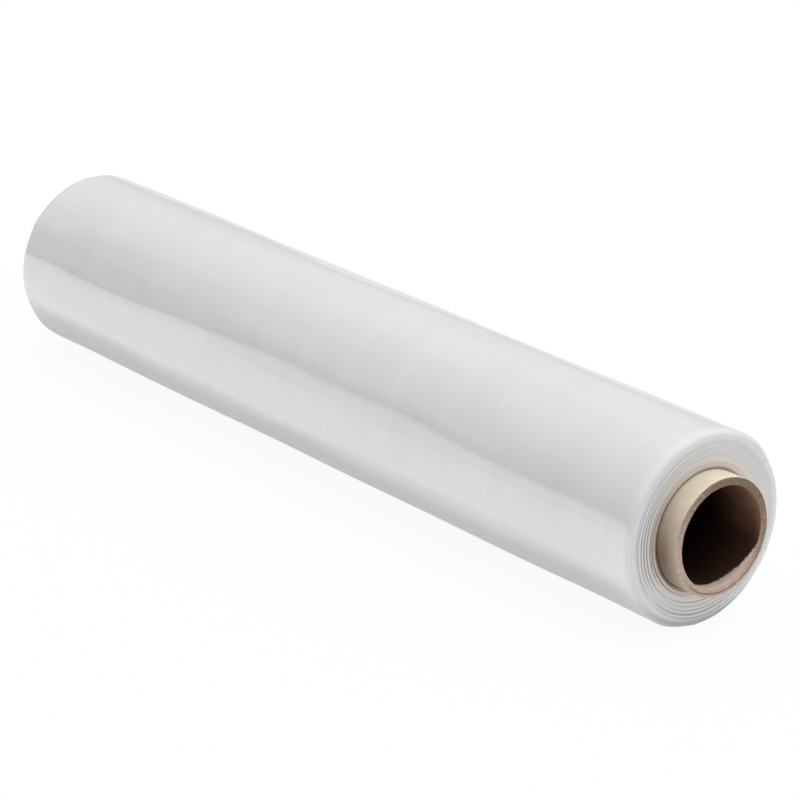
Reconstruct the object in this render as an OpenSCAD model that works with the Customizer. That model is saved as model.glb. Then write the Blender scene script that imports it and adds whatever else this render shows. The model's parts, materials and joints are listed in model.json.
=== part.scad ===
// Stretch wrap roll: clear film wound on a paperboard core, lying on its side.
// X runs along the core and Z is up. The origin is under the middle of the roll,
// on the surface that it lies on.

/* [Film] */
// Width of the film, along the roll
film_width = 500; // [250:10:600]
// Depth of the winding, from the core to the last turn
film_build = 19.48; // [8:0.02:40]
// Radius of the soft shoulder where the turns pull in at each end
shoulder_r = 4; // [1:0.5:6]
// Bands of turns that stand out from each other on an end face
turn_bands = 8; // [4:1:16]
// Most that a groove between two bands is deep
groove_depth = 0.35; // [0.1:0.05:0.6]
// Depth by which an end face falls from its shoulder to the core
face_dish = 1; // [0:0.1:2]
// Width of the flat spot that the roll's own weight presses
flat_spot_w = 12; // [8:0.5:20]
// Play between the first turn and the core
winding_play = 0.02; // [0:0.01:0.3]

/* [Free end of the film] */
// Height of the step where the last turn stops
tail_step = 0.25; // [0.1:0.05:0.5]
// Angle of that step round the roll, up from the level of the axis at the back
tail_angle = 30; // [-40:5:50]
// Length by which the free end necks in from each shoulder
tail_neck = 6; // [1:1:30]

/* [Core] */
// Bore of the core
core_bore_d = 50; // [38:1:60]
// Thickness of the core's wall
core_wall = 4; // [2:0.5:6]
// Length of the core that stands out of each end of the film
core_reach = 11; // [4:1:30]
// Plies of paper in the wall
core_plies = 6; // [4:1:10]
// Depth of the seam between two plies on the cut end
ply_seam = 0.15; // [0.05:0.05:0.2]
// Edge break left by the cutting knife, on both rims
rim_break = 0.3; // [0.1:0.1:0.6]

/* [Hidden] */
$fn = 96;
// Room past a solid for a clean cut
over = 1;

half_film = film_width / 2;
half_core = half_film + core_reach;
core_bore_r = core_bore_d / 2;
core_r = core_bore_r + core_wall;

// The first turn lies on the core, and the face ends where its shoulder starts.
first_turn_r = core_r + winding_play;
roll_r = first_turn_r + film_build;
face_r = roll_r - shoulder_r;
band_w = (face_r - first_turn_r) / turn_bands;

// The axis stands lower than a round roll's by the sagitta of the flat spot.
axis_z = sqrt(pow(roll_r, 2) - pow(flat_spot_w / 2, 2));

ply_w = core_wall / core_plies;
// A seam's mouth is as wide as the seam is deep
seam_half_w = ply_seam / 2;

// How far the dished face lies below the shoulder at radius r
function dish(r) = face_dish * pow((face_r - r) / (face_r - first_turn_r), 2);
// Grooves run deep and shallow in turn, as the winding tension wandered
function groove(band) = groove_depth * (0.6 + 0.4 * sin(137 * band));

// Half of an end face's outline, out from the core: crest, groove, crest
function face_outline() = [
    for (step = [0 : 2 * turn_bands])
        let (
            r = first_turn_r + step * band_w / 2,
            cut = step % 2 == 1 ? groove((step - 1) / 2) : 0
        )
        [r, half_film - dish(r) - cut]
];

// Turns a shape drawn round Z so that it lies along X, on the roll's axis.
module along_roll() {
    translate([0, 0, axis_z]) rotate([0, 90, 0]) children();
}

module both_ends() {
    children();
    mirror([0, 1]) children();
}

// Section through the winding on one side of the axis: radius by length.
module winding_section() {
    shoulder_y = half_film - shoulder_r;
    translate([first_turn_r, -shoulder_y])
        square([roll_r - first_turn_r, 2 * shoulder_y]);
    both_ends() {
        polygon(concat(
            face_outline(),
            [[face_r, shoulder_y], [first_turn_r, shoulder_y]]
        ));
        translate([face_r, shoulder_y]) intersection() {
            circle(r = shoulder_r);
            square(shoulder_r + over);
        }
    }
}

// The last turn lies a step off the round where it stops, and runs down to
// nothing a quarter of a turn before. A disc set off centre has that rise, and
// only its skin is kept.
module free_end() {
    tail_length = 2 * (half_film - shoulder_r - tail_neck);
    reach = roll_r + tail_step + over;
    along_roll() rotate([0, 0, 90 + tail_angle]) difference() {
        intersection() {
            translate([tail_step, 0, 0])
                cylinder(r = roll_r, h = tail_length, center = true);
            translate([0, -reach, -tail_length])
                cube([reach, reach, 2 * tail_length]);
        }
        cylinder(r = face_r, h = film_width, center = true);
    }
}

// Everything under the surface that the roll lies on
module below_surface() {
    translate([-half_film - over, -2 * roll_r, -2 * roll_r])
        cube([film_width + 2 * over, 4 * roll_r, 2 * roll_r]);
}

module wound_film() {
    color([0.87, 0.88, 0.89]) difference() {
        union() {
            along_roll() rotate_extrude() winding_section();
            free_end();
        }
        below_surface();
    }
}

// Cut end of the core, out from the bore: edge break, ply seams, edge break
function rim_outline() = concat(
    [[core_bore_r, half_core - rim_break], [core_bore_r + rim_break, half_core]],
    [
        for (ply = [1 : core_plies - 1], side = [-1 : 1])
            [
                core_bore_r + ply * ply_w + side * seam_half_w,
                half_core - (side == 0 ? ply_seam : 0)
            ]
    ],
    [[core_r - rim_break, half_core], [core_r, half_core - rim_break]]
);

function mirrored(points) = [
    for (i = [len(points) - 1 : -1 : 0]) [points[i][0], -points[i][1]]
];

module core_tube() {
    color([0.8, 0.68, 0.52]) along_roll() rotate_extrude()
        polygon(concat(rim_outline(), mirrored(rim_outline())));
}

wound_film();
core_tube();
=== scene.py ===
import json
import math

import bmesh
import bpy
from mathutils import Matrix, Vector, noise


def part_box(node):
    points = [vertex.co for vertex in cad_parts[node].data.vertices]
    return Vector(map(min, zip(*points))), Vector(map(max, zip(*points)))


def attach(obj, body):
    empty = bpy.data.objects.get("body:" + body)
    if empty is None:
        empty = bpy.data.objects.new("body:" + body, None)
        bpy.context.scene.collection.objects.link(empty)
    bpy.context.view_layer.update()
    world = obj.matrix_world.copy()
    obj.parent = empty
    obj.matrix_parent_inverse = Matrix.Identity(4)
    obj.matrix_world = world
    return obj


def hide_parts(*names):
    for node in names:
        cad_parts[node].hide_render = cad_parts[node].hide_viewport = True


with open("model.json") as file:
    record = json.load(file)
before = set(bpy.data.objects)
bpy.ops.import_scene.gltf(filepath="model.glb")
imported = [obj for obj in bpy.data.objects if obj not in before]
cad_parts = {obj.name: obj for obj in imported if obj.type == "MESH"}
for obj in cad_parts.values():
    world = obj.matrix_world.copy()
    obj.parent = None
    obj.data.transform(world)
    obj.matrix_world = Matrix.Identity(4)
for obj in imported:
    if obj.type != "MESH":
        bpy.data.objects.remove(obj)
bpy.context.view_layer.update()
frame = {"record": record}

# The core. A tube of paperboard: plies of brown kraft paper, glued and wound in
# a spiral on a mandrel, then cut square with a knife. The film is wound straight
# onto it, and it stands out at both ends for the dispenser's plugs.
mounts = {mount["name"]: mount for mount in frame["record"]["mounts"]}
axis_z = mounts["core_bore"]["pos_m"][2]
bore_r = mounts["core_bore"]["dims"]["r_mm"] / 1000
half_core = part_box("core_tube")[1].x
half_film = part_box("wound_film")[1].x
stub_length = half_core - half_film
core_wall = 0.004
core_r = bore_r + core_wall
ply_count = 6
ply_thickness = core_wall / ply_count
ply_seam_depth = 0.00015
rim_break = 0.0003

# The mesh: how many steps a full turn has, and the rows of faces at each end.
steps_round = 192
bore_row = 0.004
bore_rows = 15
stub_row = 0.001
stub_rows = 13

# What the knife and use leave. A sink moves a swing inwards, so that little stands proud.
cut_unevenness = 0.00009
cut_sink = 0.6
stub_dents = 0.00018
dent_sink = 0.55
dented_length = 0.012

# The noise: its waves round and along, and how far apart it reads the plies and the two ends.
ply_waves_round = 4
plies_apart = 4000
ply_ends_apart = 9
dents_round = 2.2
dents_along = 40
dent_ends_apart = 3


def lathe(outline):
    """Spins a closed outline of (along, radius) pairs once round the core's axis."""
    bm = bmesh.new()
    corners = [bm.verts.new((along, 0.0, axis_z + radius)) for along, radius in outline]
    for corner, following in zip(corners, corners[1:] + corners[:1]):
        bm.edges.new((corner, following))
    bmesh.ops.spin(
        bm, geom=bm.verts[:] + bm.edges[:], cent=(0, 0, axis_z), axis=(1, 0, 0),
        angle=2 * math.pi, steps=steps_round, use_merge=True, use_duplicate=False,
    )
    bmesh.ops.recalc_face_normals(bm, faces=bm.faces)
    return bm


def mirrored_ends(near_outline):
    """The whole closed outline from its near half, which runs from the bore outwards."""
    return near_outline + [(-along, radius) for along, radius in reversed(near_outline)]


def round_place(point):
    """Angle round the axis, up from the back, and radius of a point."""
    return math.atan2(point.z - axis_z, point.y), math.hypot(point.y, point.z - axis_z)


def push_out(vertex, distance):
    """Moves a vertex straight away from the core's axis."""
    angle, _ = round_place(vertex.co)
    vertex.co.y += distance * math.cos(angle)
    vertex.co.z += distance * math.sin(angle)


def piece_from(bm, name, crisp_from=math.pi):
    """A finished piece at the origin, shaded smooth but for edges that turn more than crisp_from."""
    mesh = bpy.data.meshes.new(name)
    bm.to_mesh(mesh)
    bm.free()
    mesh.shade_smooth()
    mesh.set_sharp_from_angle(angle=crisp_from)
    piece = bpy.data.objects.new(name, mesh)
    bpy.context.scene.collection.objects.link(piece)
    return piece


def core_outline():
    """Near half of the core's section, from the bore out over the cut end to the film."""
    outline = [(half_core - bore_row * row, bore_r) for row in range(bore_rows, 0, -1)]
    outline += [(half_core - rim_break, bore_r), (half_core, bore_r + rim_break)]
    for ply in range(1, ply_count):
        seam = bore_r + ply * ply_thickness
        outline += [
            (half_core, seam - ply_seam_depth / 2),
            (half_core - ply_seam_depth, seam),
            (half_core, seam + ply_seam_depth / 2),
        ]
    outline += [(half_core, core_r - rim_break), (half_core - rim_break, core_r)]
    outline += [(half_core - stub_row * row, core_r) for row in range(1, stub_rows + 1)]
    return outline


def roughen(vertex):
    """Sets the plies of the cut end in and out a little, and dents the stub."""
    angle, radius = round_place(vertex.co)
    side = math.copysign(1, vertex.co.x)
    round_trip = Vector((math.cos(angle), math.sin(angle), 0))
    if abs(vertex.co.x) > half_core - 2 * rim_break:
        ply_place = Vector((0, 0, radius * plies_apart + side * ply_ends_apart))
        ply_height = noise.noise(round_trip * ply_waves_round + ply_place)
        vertex.co.x += side * (ply_height - cut_sink) * cut_unevenness
    if radius > core_r - rim_break:
        near_rim = max(0.0, 1 - (half_core - abs(vertex.co.x)) / dented_length)
        dent_place = Vector((0, 0, side * dent_ends_apart + vertex.co.x * dents_along))
        dent = noise.noise(round_trip * dents_round + dent_place)
        push_out(vertex, (dent - dent_sink) * stub_dents * near_rim)


core_bm = lathe(mirrored_ends(core_outline()))
for vertex in core_bm.verts:
    roughen(vertex)
core_tube = piece_from(core_bm, "core_tube_paperboard")


class Nodes:
    """Adds shader nodes to a material or a world and links them as they are made."""

    def __init__(self, owner, shader_name="Principled BSDF"):
        owner.use_nodes = True
        self.tree = owner.node_tree
        self.shader = self.tree.nodes[shader_name]

    def add(self, kind, settings=None, **inputs):
        """A new node with its settings made and its inputs fed."""
        node = self.tree.nodes.new(kind)
        for name, value in (settings or {}).items():
            setattr(node, name, value)
        for name, value in inputs.items():
            self.feed(node.inputs[name], value)
        return node

    def feed(self, socket, value):
        """Links another node's output to a socket, or sets its value, a colour without its alpha."""
        if isinstance(value, bpy.types.NodeSocket):
            self.tree.links.new(value, socket)
        elif socket.type == "RGBA":
            socket.default_value = (*value, 1)
        else:
            socket.default_value = value

    def paint(self, colour):
        """Gives the surface its colour."""
        self.feed(self.shader.inputs["Base Color"], colour)

    def bump(self, height, strength, distance):
        """Roughens the surface by a height, which is in units of the distance."""
        node = self.add("ShaderNodeBump", Strength=strength, Distance=distance, Height=height)
        self.feed(self.shader.inputs["Normal"], node.outputs["Normal"])

    def math(self, operation, first, second=0.0, third=0.0):
        """One sum of one to three numbers."""
        node = self.add("ShaderNodeMath", {"operation": operation})
        for socket, value in zip(node.inputs, (first, second, third)):
            self.feed(socket, value)
        return node.outputs[0]

    def spread(self, value, between, onto=(0.0, 1.0)):
        """Carries the range between two numbers onto another, and holds still beyond its ends."""
        node = self.add("ShaderNodeMapRange")
        for socket, number in zip(node.inputs, (value, *between, *onto)):
            self.feed(socket, number)
        return node.outputs[0]

    def blend(self, share, first, second):
        """The first colour where the share is 0, and the second where it is 1."""
        node = self.add("ShaderNodeMix", {"data_type": "RGBA"})
        self.feed(node.inputs["Factor"], share)
        self.feed(node.inputs["A"], first)
        self.feed(node.inputs["B"], second)
        return node.outputs["Result"]

    def ramp(self, share, stops):
        """A colour that runs through the stops, each a share and its colour."""
        node = self.add("ShaderNodeValToRGB", Fac=share)
        band = node.color_ramp
        while len(band.elements) < len(stops):
            band.elements.new(0.5)
        for element, (place, colour) in zip(band.elements, stops):
            element.position = place
            element.color = (*colour, 1)
        return node.outputs["Color"]

    def grain(self, place, scale, detail):
        """Random speckle round 0.5, finer where the scale is higher."""
        return self.add("ShaderNodeTexNoise", Vector=place, Scale=scale, Detail=detail).outputs["Fac"]

    def roll_place(self):
        """Sockets for the length along the roll, the angle round it and the radius."""
        coordinates = self.add("ShaderNodeTexCoord").outputs["Object"]
        parts = self.add("ShaderNodeSeparateXYZ", Vector=coordinates).outputs
        height = self.math("SUBTRACT", parts["Z"], axis_z)
        # The angle's jump from one turn to the next is at the bottom, out of sight.
        angle = self.math("ARCTAN2", parts["Y"], height)
        squares = self.math("ADD", self.math("POWER", parts["Y"], 2.0), self.math("POWER", height, 2.0))
        return parts["X"], angle, self.math("SQRT", squares)

    def unrolled(self, along, angle, reach, depth=0.0):
        """A place on the surface laid flat. A radian of the angle is as long there as the reach."""
        round_length = self.math("MULTIPLY", angle, reach)
        return self.add("ShaderNodeCombineXYZ", X=along, Y=round_length, Z=depth).outputs[0]

    def from_end(self, along, half_length):
        """How far in from the nearer end a place lies."""
        return self.math("SUBTRACT", half_length, self.math("ABSOLUTE", along))

    def facing(self, angle, towards):
        """How nearly a place faces an angle: 1 where it does, and -1 on the other side."""
        return self.math("COSINE", self.math("SUBTRACT", angle, towards))


# The paper of the outside ply and of the liner. A material's angles run from the top towards
# the back, so the front is at -90 degrees.
spiral_pitch = 0.138
fibre_angle = math.radians(37)
fibre_draw = 0.16
fibre_share = 0.45
fibre_contrast = 0.14
joint_width = 0.0022
joint_strength = 0.5
joint_dark = 0.4


def darker(colour, share):
    """A colour brought down to a share of its strength."""
    return tuple(share * part for part in colour)


def paper(name, light, dark, roughness):
    """Kraft paper whose fibres run with the spiral, with the joint between two turns of the ply."""
    material = bpy.data.materials.new(name)
    nodes = Nodes(material)
    along, angle, radius = nodes.roll_place()
    flat = nodes.unrolled(along, angle, radius, radius)
    turned = nodes.add(
        "ShaderNodeMapping", Vector=flat, Rotation=(0, 0, fibre_angle), Scale=(1, fibre_draw, 1),
    )
    fibres = nodes.grain(turned.outputs[0], scale=2600.0, detail=4.0)
    mottle = nodes.grain(flat, scale=170.0, detail=5.0)
    fibre_part = nodes.math("MULTIPLY", fibres, fibre_share)
    mottle_part = nodes.math("MULTIPLY", mottle, 1 - fibre_share)
    mixed = nodes.math("ADD", fibre_part, mottle_part)
    share = nodes.spread(mixed, (0.5 - fibre_contrast, 0.5 + fibre_contrast))
    turns_along = nodes.math("DIVIDE", along, spiral_pitch)
    turns_round = nodes.math("DIVIDE", angle, 2 * math.pi)
    in_turn = nodes.math("FRACT", nodes.math("ADD", turns_along, turns_round))
    from_joint = nodes.math("ABSOLUTE", nodes.math("SUBTRACT", in_turn, 0.5))
    joint = nodes.spread(from_joint, (0.0, joint_width), (1.0, 0.0))
    plain = nodes.blend(share, dark, light)
    joint_share = nodes.math("MULTIPLY", joint, joint_strength)
    colour = nodes.blend(joint_share, plain, darker(dark, joint_dark))
    nodes.paint(colour)
    nodes.shader.inputs["Roughness"].default_value = roughness
    nodes.shader.inputs["Specular IOR Level"].default_value = 0.3
    nodes.bump(nodes.math("SUBTRACT", mixed, joint), strength=0.35, distance=0.0002)
    return material, nodes, colour


kraft_light = (0.95, 0.85, 0.69)
kraft_dark = (0.83, 0.71, 0.56)
# The colour and the place of painted shade on the stub's front, deepest where the stub meets the film.
stub_shade_brown = (0.2407, 0.1704, 0.1204)
stub_shade_angle = math.radians(-103)
stub_shade_spread = math.radians(57)
stub_shade_deepest = 0.7 * stub_length
stub_shade_at_rim = 0.62


def stub_paper(name):
    """The outside ply, with painted shade on its front, deepest where it meets the film."""
    material, nodes, colour = paper(name, kraft_light, kraft_dark, roughness=0.55)
    along, angle, _ = nodes.roll_place()
    off_centre = nodes.math("DIVIDE", nodes.math("SUBTRACT", angle, stub_shade_angle), stub_shade_spread)
    off_squared = nodes.math("POWER", off_centre, 2.0)
    round_share = nodes.math("EXPONENT", nodes.math("MULTIPLY", off_squared, -1.0))
    from_rim = nodes.from_end(along, half_core)
    along_share = nodes.spread(from_rim, (0.0, stub_shade_deepest), (stub_shade_at_rim, 1.0))
    share = nodes.math("MULTIPLY", round_share, along_share)
    nodes.paint(nodes.blend(share, colour, stub_shade_brown))
    return material


# Here and in the bore, an arc is a range of how nearly a place faces an angle, from -1 to 1.
board_light = (0.61, 0.465, 0.395)
board_dark = (0.20, 0.14, 0.10)
board_grain = (0.1, 0.6)
glue_line = (0.32, 0.5)
glue_wear = 0.22
# Painted shade darkens the cut end towards the top and the back.
rim_shade_angle = math.radians(30)
rim_shade_arc = (-0.6, 0.9)
rim_shade_shares = (0.0, 0.5)
rim_shade_strength = 0.8
# A dark line of painted shade runs low down along the fourth ply.
shade_line_ply = 3.4
shade_line_edge = (0.4, 0.8)
shade_line_shares = (0.8, 0.0)
shade_line_angle = math.radians(165)
shade_line_arc = (0.2, 0.6)


def cut_board(name):
    """The cut end of the board, torn in its grain and worn along its glue lines.

    Painted shade darkens it towards the top and the back, and a dark line of painted shade runs low down
    along its fourth ply.
    """
    material = bpy.data.materials.new(name)
    nodes = Nodes(material)
    along, angle, radius = nodes.roll_place()
    plies_out = nodes.math("DIVIDE", nodes.math("SUBTRACT", radius, bore_r), ply_thickness)
    in_ply = nodes.math("FRACT", plies_out)
    off_middle = nodes.math("ABSOLUTE", nodes.math("SUBTRACT", in_ply, 0.5))
    glue = nodes.spread(off_middle, glue_line)
    torn = nodes.grain(nodes.unrolled(along, angle, radius, radius), scale=900.0, detail=6.0)
    rim_shaded = nodes.spread(nodes.facing(angle, rim_shade_angle), rim_shade_arc, rim_shade_shares)
    glue_worn = nodes.math("MULTIPLY", glue, glue_wear)
    rim_shade_part = nodes.math("MULTIPLY", rim_shaded, rim_shade_strength)
    worn_and_shaded = nodes.math("ADD", glue_worn, rim_shade_part)
    share = nodes.spread(nodes.math("SUBTRACT", torn, worn_and_shaded), board_grain)
    board = nodes.blend(share, board_dark, board_light)
    off_ply = nodes.math("ABSOLUTE", nodes.math("SUBTRACT", plies_out, shade_line_ply))
    in_shade_line = nodes.spread(off_ply, shade_line_edge, shade_line_shares)
    low_down = nodes.spread(nodes.facing(angle, shade_line_angle), shade_line_arc)
    shade_line_share = nodes.math("MULTIPLY", in_shade_line, low_down)
    nodes.paint(nodes.blend(shade_line_share, board, board_dark))
    nodes.shader.inputs["Roughness"].default_value = 0.95
    nodes.shader.inputs["Specular IOR Level"].default_value = 0.2
    nodes.bump(torn, strength=0.5, distance=0.0002)
    return material


# Lengths in the bore run inwards from the rim.
liner_brown = (0.35, 0.185, 0.12)
liner_plain = 0.6
# Painted shade: a near-black brown inside each mouth, which goes over to the plain brown further in.
liner_painted_shade = (0.013, 0.0045, 0.003)
# Painted light: the liner's own colours near the mouth, fullest high up towards the back.
lit_angle = math.radians(50)
lit_arc = (0.5, 1.0)
lit_shares = (0.15, 1.0)
lit_reach = 0.033
painted_shade_reach = 0.055
plain_reach = 0.11
# Painted light: a pale band low in the mouth, reaching in furthest at the bottom, with a ragged edge.
lip_painted_light = (0.80, 0.64, 0.54)
lip_dark = 0.86
lip_grain = (0.35, 0.65)
lip_angle = math.radians(185)
lip_arc = (0.2, 0.95)
lip_reach = 0.0066
lip_ragged = 0.0024
lip_feather = 0.0012


def dark_bore(name):
    """The brown liner of the bore, darkened inside each mouth by painted shade, with painted light high
    up near the mouth and a pale painted band of light low in the mouth.
    """
    plain_brown = darker(liner_brown, liner_plain)
    material, nodes, colour = paper(name, liner_brown, plain_brown, roughness=0.42)
    along, angle, _ = nodes.roll_place()
    inside = nodes.from_end(along, half_core)
    near_mouth = nodes.spread(inside, (0.0, lit_reach), (1.0, 0.0))
    high_up = nodes.spread(nodes.facing(angle, lit_angle), lit_arc, lit_shares)
    lit_near_mouth = nodes.math("MULTIPLY", near_mouth, high_up)
    deep_in = nodes.spread(inside, (painted_shade_reach, plain_reach))
    lining = nodes.blend(lit_near_mouth, nodes.blend(deep_in, liner_painted_shade, plain_brown), colour)
    lip_depth = nodes.spread(nodes.facing(angle, lip_angle), lip_arc, (0.0, lip_reach))
    lip_noise = nodes.grain(nodes.unrolled(along, angle, bore_r), scale=520.0, detail=5.0)
    lip_ragged_depth = nodes.math("MULTIPLY_ADD", nodes.math("SUBTRACT", lip_noise, 0.5), lip_ragged, lip_depth)
    lip_share = nodes.spread(nodes.math("SUBTRACT", lip_ragged_depth, inside), (0.0, lip_feather))
    lip = nodes.blend(nodes.spread(lip_noise, lip_grain), darker(lip_painted_light, lip_dark), lip_painted_light)
    nodes.paint(nodes.blend(lip_share, lining, lip))
    return material


OUTSIDE, CUT_END, LINER = range(3)
core_tube.data.materials.append(stub_paper("kraft_outside"))
core_tube.data.materials.append(cut_board("cut_end"))
core_tube.data.materials.append(dark_bore("kraft_liner"))
for polygon in core_tube.data.polygons:
    _, radius = round_place(polygon.center)
    if abs(polygon.center.x) > half_core - 1.5 * rim_break:
        polygon.material_index = CUT_END
    elif radius < bore_r + rim_break:
        polygon.material_index = LINER
    else:
        polygon.material_index = OUTSIDE
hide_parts("core_tube")
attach(core_tube, "root")

# The film. Some 200 m of clear stretch film wound tight on the core, so that
# its turns read as one milky body. The ends of the turns make the two faces,
# in bands that stand a little in or out, with a soft shoulder round the rim.
roll_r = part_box("wound_film")[1].z - axis_z
winding_play = 0.00002
first_turn_r = core_r + winding_play
shoulder_r = 0.004
shoulder_steps = 9
face_r = roll_r - shoulder_r
face_dish = 0.001
face_step = 0.00025
band_count = 8
groove_depth = 0.00035
groove_swing = 0.4
groove_turn = math.radians(137)
turn_unevenness = 0.00008
crevice_depth = 0.0005
crevice_width = 0.0003
groove_fade = 12
row_length = 0.0025


def wave(place, scale, row, layer=0):
    """A smooth random wave between about -1 and 1. Each row and layer has a wave of its own."""
    return noise.noise(Vector((place * scale, row, layer)))


def face_depth(radius):
    """How far the ends of the turns at a radius lie inside the shoulder's plane."""
    inward = max(0.0, (face_r - radius) / (face_r - first_turn_r))
    place = (1 - inward) * band_count
    band = min(int(place), band_count - 1)
    # A turn of 137 degrees from band to band makes each groove unlike its neighbours.
    groove = groove_depth * (1 - groove_swing + groove_swing * math.sin(groove_turn * band))
    in_band = place - band
    uneven = wave(radius, scale=2500, row=0.3, layer=0.7) * turn_unevenness
    fade = min(1.0, inward * groove_fade)
    crevice = crevice_depth * math.exp((first_turn_r - radius) / crevice_width)
    return face_dish * inward ** 2 + fade * (groove * math.sin(math.pi * in_band) ** 2 + uneven) + crevice


def film_outline():
    """Near half of the film's section, from the core out over the face and the shoulder."""
    steps = round((face_r - first_turn_r) / face_step)
    radii = [first_turn_r + (face_r - first_turn_r) * step / steps for step in range(steps + 1)]
    outline = [(half_film - face_depth(radius), radius) for radius in radii]
    for step in range(1, shoulder_steps + 1):
        turn = math.pi / 2 * step / shoulder_steps
        outline.append((
            half_film - shoulder_r + shoulder_r * math.cos(turn),
            face_r + shoulder_r * math.sin(turn),
        ))
    straight = half_film - shoulder_r
    rows = round(straight / row_length)
    outline += [(straight * (rows - row) / rows, roll_r) for row in range(1, rows)]
    return outline


# The free end, at the back: the last quarter turn rises to a step as it comes to its end.
skin_depth = 0.001
skin_r = roll_r - skin_depth
tail_angle = math.radians(30)
tail_turn = math.pi / 2
tail_step = 0.00025
tail_inset = 0.006
tail_half = half_film - shoulder_r - tail_inset
tail_ripple = 0.0004
ripple_rise = 0.3
ripple_reach = math.radians(5)
tail_wave = 0.005
wave_reach = math.radians(16)
corner_pull = 0.003
corner_length = 0.05
neck_depth = 0.003
neck_length = 0.005


def lay_free_end(bm):
    """Raises the last quarter turn into a step, where the film's own end lies on the turn below."""
    region = []
    for face in bm.faces:
        middle = face.calc_center_median()
        angle, radius = round_place(middle)
        if radius > skin_r and abs(middle.x) < tail_half and tail_angle - tail_turn < angle < tail_angle:
            region.append(face)
    raised = bmesh.ops.extrude_face_region(bm, geom=region)["geom"]
    bmesh.ops.delete(bm, geom=region, context="FACES")
    for vertex in raised:
        if isinstance(vertex, bmesh.types.BMVert):
            angle, _ = round_place(vertex.co)
            back_from_end = tail_angle - angle
            ripple = wave(vertex.co.x, scale=70, row=0.4, layer=0.9) + ripple_rise
            lift = tail_ripple * max(0.0, ripple) * math.exp(-back_from_end / ripple_reach)
            push_out(vertex, tail_step * math.cos(back_from_end) + lift)
    bmesh.ops.remove_doubles(bm, verts=bm.verts, dist=1e-6)
    return bm


def let_free_end_wander(vertex):
    """Bends the step's line in slow waves and draws its corners in, as the stretched film necks."""
    angle, radius = round_place(vertex.co)
    if radius < skin_r:
        return
    along = vertex.co.x
    slow_wave = wave(along, scale=11, row=2.2) + 0.25 * wave(along, scale=60, row=5)
    corner = max(0.0, 1 - (tail_half - abs(along)) / corner_length) ** 2
    near_end = max(0.0, 1 - abs(angle - tail_angle) / wave_reach)
    turn = (tail_wave * slow_wave - corner_pull * corner) / roll_r * near_end
    vertex.co.y = radius * math.cos(angle + turn)
    vertex.co.z = axis_z + radius * math.sin(angle + turn)
    near_edge = max(0.0, 1 - abs(abs(along) - tail_half) / neck_length)
    back_share = min(1.0, max(0.0, (tail_angle - angle) / tail_turn))
    necked = 0.5 - 0.5 * math.cos(math.pi * back_share)
    vertex.co.x += math.copysign(neck_depth * necked * near_edge, along)


# The side: slow waves where the film's gauge varies, and soft spots where the winding gave.
gauge_swing = 0.00007
soft_spot_swing = 0.0007
spots_along = 12
spots_round = 3.4
side_sink = 0.00028


def soften_side(vertex):
    """Gives the side its slow waves of gauge and its soft spots, which mostly sink it."""
    angle, radius = round_place(vertex.co)
    if radius <= face_r:
        return
    along = vertex.co.x
    outer = min(1.0, (radius - face_r) / shoulder_r)
    gauge = wave(along, scale=14, row=4.1) + 0.5 * wave(along, scale=45, row=9.7)
    spot = noise.noise(Vector((
        along * spots_along, spots_round * math.cos(angle), spots_round * math.sin(angle),
    )))
    push_out(vertex, outer * (gauge * gauge_swing + spot * soft_spot_swing - side_sink))


film_bm = lay_free_end(lathe(mirrored_ends(film_outline())))
for vertex in film_bm.verts:
    # What the round outline takes below the table is the flat spot, and stays flat.
    pressed_flat = vertex.co.z <= 0
    let_free_end_wander(vertex)
    soften_side(vertex)
    vertex.co.z = 0.0 if pressed_flat else max(vertex.co.z, 0.0)
film = piece_from(film_bm, "wound_film_turns", crisp_from=math.radians(50))


# The film's tones, from the first turns at the core out over the face to the side, which is 1.
face_tones = [
    # The first two stops are painted shade, dark where the film meets the core.
    (0.0, (0.08, 0.055, 0.04)),
    (0.04, (0.12, 0.085, 0.063)),
    (0.08, (0.46, 0.39, 0.335)),
    (0.24, (0.565, 0.515, 0.48)),
    (0.45, (0.505, 0.50, 0.495)),
    (0.74, (0.465, 0.475, 0.495)),
    (0.94, (0.525, 0.545, 0.575)),
    (1.0, (0.745, 0.745, 0.745)),
]
outer_ring = 0.94
face_tones_end = roll_r - 0.0013
rings_end = roll_r - 0.0006
cloud_reach = roll_r * 0.45
gauge_reach = 0.0012

# How the grain of the turns, the clouds and the gauge lightens and darkens the tone.
grain_range = (0.3, 0.7)
ring_tones = (0.93, 1.05)
broad_ring_tones = (0.92, 1.05)
cloud_range = (0.3, 0.75)
cloud_tones = (0.98, 1.03)
gauge_tones = (0.988, 1.012)


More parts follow.
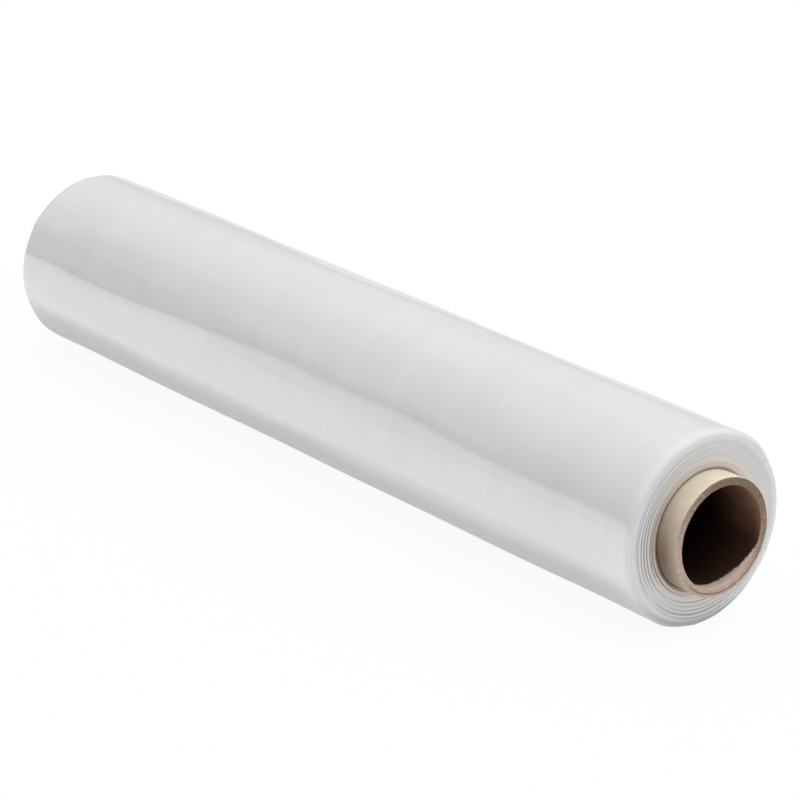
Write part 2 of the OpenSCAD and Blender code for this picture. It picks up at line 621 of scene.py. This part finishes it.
def wrap_film(name):
    """Clear film in many turns: a milky body under a glossy skin, browner near the core, with painted
    shade where it meets the core.
    """
    material = bpy.data.materials.new(name)
    nodes = Nodes(material)
    along, angle, radius = nodes.roll_place()
    out_over_face = nodes.spread(radius, (core_r, face_tones_end))
    # Round the shoulder the tone goes over from the face's outer ring to the side's.
    in_from_face = nodes.spread(nodes.from_end(along, half_film), (0.0, shoulder_r), (outer_ring, 1.0))
    body = nodes.ramp(nodes.math("MINIMUM", out_over_face, in_from_face), face_tones)
    ring_place = nodes.add("ShaderNodeCombineXYZ", X=nodes.math("MINIMUM", radius, rings_end)).outputs[0]
    rings = nodes.grain(ring_place, scale=2200.0, detail=3.0)
    tone = nodes.spread(rings, grain_range, ring_tones)
    broad_rings = nodes.grain(ring_place, scale=420.0, detail=1.0)
    tone = nodes.math("MULTIPLY", tone, nodes.spread(broad_rings, grain_range, broad_ring_tones))
    # Air between the turns shows as faint clouds, drawn out round the roll.
    clouds = nodes.grain(nodes.unrolled(along, angle, cloud_reach), scale=38.0, detail=3.0)
    tone = nodes.math("MULTIPLY", tone, nodes.spread(clouds, cloud_range, cloud_tones))
    gauge = nodes.grain(nodes.unrolled(along, angle, gauge_reach), scale=420.0, detail=3.0)
    tone = nodes.math("MULTIPLY", tone, nodes.spread(gauge, grain_range, gauge_tones))
    toned = nodes.add("ShaderNodeVectorMath", {"operation": "SCALE"}, Scale=tone)
    nodes.feed(toned.inputs[0], body)
    nodes.paint(toned.outputs[0])
    nodes.shader.inputs["Roughness"].default_value = 0.16
    nodes.shader.inputs["Specular IOR Level"].default_value = 1.0
    nodes.shader.inputs["Coat Weight"].default_value = 1.0
    nodes.shader.inputs["Coat Roughness"].default_value = 0.06
    nodes.shader.inputs["Coat IOR"].default_value = 2.4
    nodes.shader.inputs["Subsurface Weight"].default_value = 0.6
    nodes.shader.inputs["Subsurface Radius"].default_value = (1, 1, 1)
    nodes.shader.inputs["Subsurface Scale"].default_value = 0.016
    fine_relief = nodes.math("ADD", gauge, nodes.math("MULTIPLY", rings, 0.6))
    nodes.bump(fine_relief, strength=0.12, distance=0.00006)
    return material


film.data.materials.append(wrap_film("stretch_film"))
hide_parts("wound_film")
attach(film, "root")

# The table. A wide white top, which the camera sees as plain white with the roll's
# faint shadow. In the film's gloss it shows painted white light instead, with a painted
# shadow close to the roll, deepest at the foot of the near face, and it dims far out.
table_r = 20.0
table_sink = 0.0002
table_white = (0.93, 0.93, 0.93)
white_share = 0.92
far_off = 0.45
far_white = 0.80

# The painted shadow in the gloss, by its distance from the line under the roll's axis and its place along
# it.
shade_full = 0.040
shade_ends = 0.066
shade_white = 0.55
near_shade_ends = half_film + 0.014
near_blur = 0.010
far_shade_ends = half_film + 0.05
far_blur = 0.020
foot_white = 0.20
foot_starts = half_film - 0.005
foot_full = half_film + 0.002
foot_middle = 0.022
foot_edge = 0.036


def white_table(name):
    """White board that shows as plain white with a little of the real shadow, and in the gloss as painted
    white with a painted shadow near the roll.
    """
    material = bpy.data.materials.new(name)
    nodes = Nodes(material)
    nodes.paint(table_white)
    nodes.shader.inputs["Roughness"].default_value = 1.0
    nodes.shader.inputs["Specular IOR Level"].default_value = 0.0
    ray = nodes.add("ShaderNodeLightPath").outputs
    in_gloss = nodes.math("MAXIMUM", ray["Is Glossy Ray"], ray["Is Transmission Ray"])
    place = nodes.add("ShaderNodeTexCoord").outputs["Object"]
    parts = nodes.add("ShaderNodeSeparateXYZ", Vector=place).outputs
    along = parts["X"]
    from_roll = nodes.math("ABSOLUTE", parts["Y"])
    beside = nodes.spread(from_roll, (shade_full, shade_ends))
    past_near = nodes.spread(along, (near_shade_ends - near_blur, near_shade_ends + near_blur))
    past_far = nodes.spread(along, (-far_shade_ends - far_blur, -far_shade_ends + far_blur), (1.0, 0.0))
    out_of_shade = nodes.math("MAXIMUM", beside, nodes.math("MAXIMUM", past_near, past_far))
    before_face = nodes.spread(along, (foot_starts, foot_full))
    under_middle = nodes.spread(from_roll, (foot_middle, foot_edge), (1.0, 0.0))
    at_foot = nodes.math("MULTIPLY", before_face, under_middle)
    in_shade = nodes.spread(at_foot, (0.0, 1.0), (shade_white, foot_white))
    open_table = nodes.spread(from_roll, (shade_ends, far_off), (1.0, far_white))
    above_shade = nodes.math("SUBTRACT", open_table, in_shade)
    gloss_white = nodes.math("MULTIPLY_ADD", out_of_shade, above_shade, in_shade)
    plain_white = nodes.math("MAXIMUM", ray["Is Camera Ray"], gloss_white)
    glow = nodes.add("ShaderNodeEmission", Color=(1, 1, 1), Strength=plain_white)
    seen_white = nodes.math("MULTIPLY", ray["Is Camera Ray"], white_share)
    mix = nodes.add("ShaderNodeMixShader", Fac=nodes.math("MAXIMUM", seen_white, in_gloss))
    nodes.feed(mix.inputs[1], nodes.shader.outputs[0])
    nodes.feed(mix.inputs[2], glow.outputs[0])
    nodes.feed(nodes.tree.nodes["Material Output"].inputs["Surface"], mix.outputs[0])
    return material


table_bm = bmesh.new()
bmesh.ops.create_circle(table_bm, cap_ends=True, segments=128, radius=table_r)
bmesh.ops.translate(table_bm, verts=table_bm.verts, vec=(0, 0, -table_sink))
table_top = piece_from(table_bm, "table_top")
table_top.data.materials.append(white_table("table_white"))

# The light. A softbox overhead, a bright wall behind and a lit side make one smooth
# world. Behind the camera the room is dim, which draws the line along the film, and
# a low white card stands round the table and stops short of the roll's far end.
level_light = 0.62
overhead_light = 0.63
wall_light = 0.24
side_light = 0.25
dim_side = 0.15
card_light = 0.70
card_height = 0.065
card_softness = 0.035
card_end = -0.812
card_end_fade = 0.014
world = bpy.data.worlds.new("studio_light")
bpy.context.scene.world = world
sky = Nodes(world, "Background")
direction = sky.add("ShaderNodeTexCoord").outputs["Generated"]
way = sky.add("ShaderNodeSeparateXYZ", Vector=direction).outputs
from_overhead = sky.math("MULTIPLY_ADD", way["Z"], overhead_light, level_light)
with_wall = sky.math("MULTIPLY_ADD", way["Y"], wall_light, from_overhead)
with_side = sky.math("MULTIPLY_ADD", way["X"], side_light, with_wall)
card_top = sky.spread(way["X"], (card_end, card_end + card_end_fade), (0.0, card_height))
above_card = sky.math("SUBTRACT", way["Z"], card_top)
card = sky.spread(above_card, (-card_softness, card_softness), (card_light, 0.0))
lit = sky.math("MAXIMUM", with_side, card)
sky.feed(sky.shader.inputs["Strength"], sky.math("MAXIMUM", lit, dim_side))
sky.shader.inputs["Color"].default_value = (1, 1, 1, 1)

# The camera. It looks down at the near end, from the height and the side that the
# photograph was taken from, through a long lens.
camera_azimuth = math.radians(50.98)
camera_elevation = math.radians(21.29)
camera_distance = 1.7367
camera_target = Vector((0, 0.02215, 0.03112))
camera_lens = 150.6
sensor_width = 36
camera_reach = 60
back = Vector((
    math.sin(camera_azimuth) * math.cos(camera_elevation),
    -math.cos(camera_azimuth) * math.cos(camera_elevation),
    math.sin(camera_elevation),
))
camera_data = bpy.data.cameras.new("camera")
camera_data.lens = camera_lens
camera_data.sensor_width = sensor_width
camera_data.clip_end = camera_reach
camera = bpy.data.objects.new("camera", camera_data)
camera.location = camera_target + back * camera_distance
camera.rotation_mode = "QUATERNION"
camera.rotation_quaternion = (-back).to_track_quat("-Z", "Y")
bpy.context.scene.collection.objects.link(camera)
bpy.context.scene.camera = camera
bpy.context.scene.view_settings.view_transform = "Standard"
